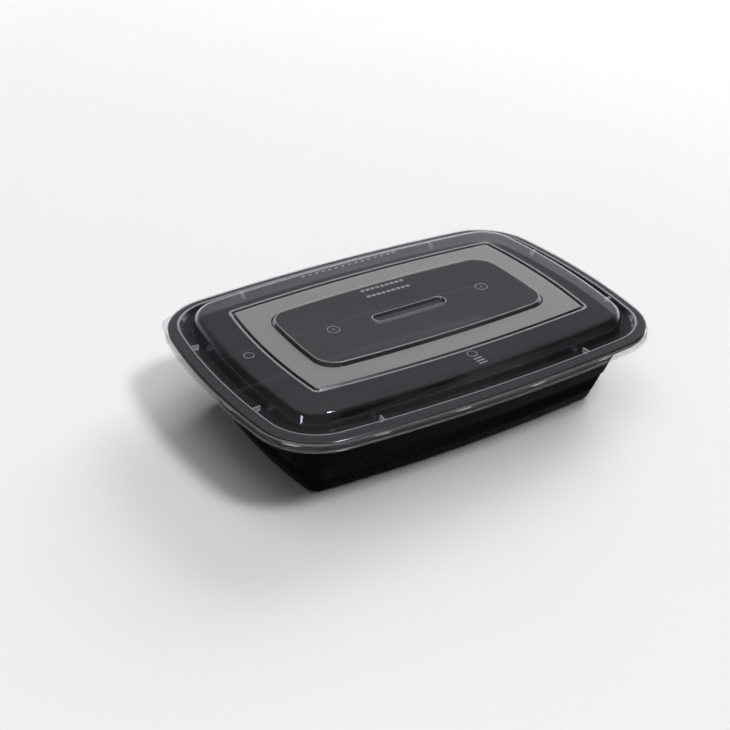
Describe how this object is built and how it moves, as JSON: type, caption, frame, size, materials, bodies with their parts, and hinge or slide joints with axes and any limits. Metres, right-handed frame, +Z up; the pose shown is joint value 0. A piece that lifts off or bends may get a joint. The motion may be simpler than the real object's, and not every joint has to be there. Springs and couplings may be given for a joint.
{
  "type": "takeaway meal container",
  "caption": "Rectangular black plastic food tray with tapered ribbed walls, shut by a see-through press-on lid with a low dome, a frosted band and a raised panel with a slot-shaped recess.",
  "frame": {"origin": "middle of the base, on the plane that the tray stands on", "axes": "+X along the container, +Y across it, +Z up through the lid"},
  "size_m": [0.227, 0.1556, 0.0538],
  "materials": {
    "tray_black": "moulded black polypropylene, satin, with a finely ribbed band round the lower wall",
    "lid_clear": "see-through polypropylene, slightly hazy and glossy, with a frosted band round the raised panel"
  },
  "bodies": {
    "root": {"tray": "tray_black", "lid": "lid_clear"}
  },
  "joints": []
}
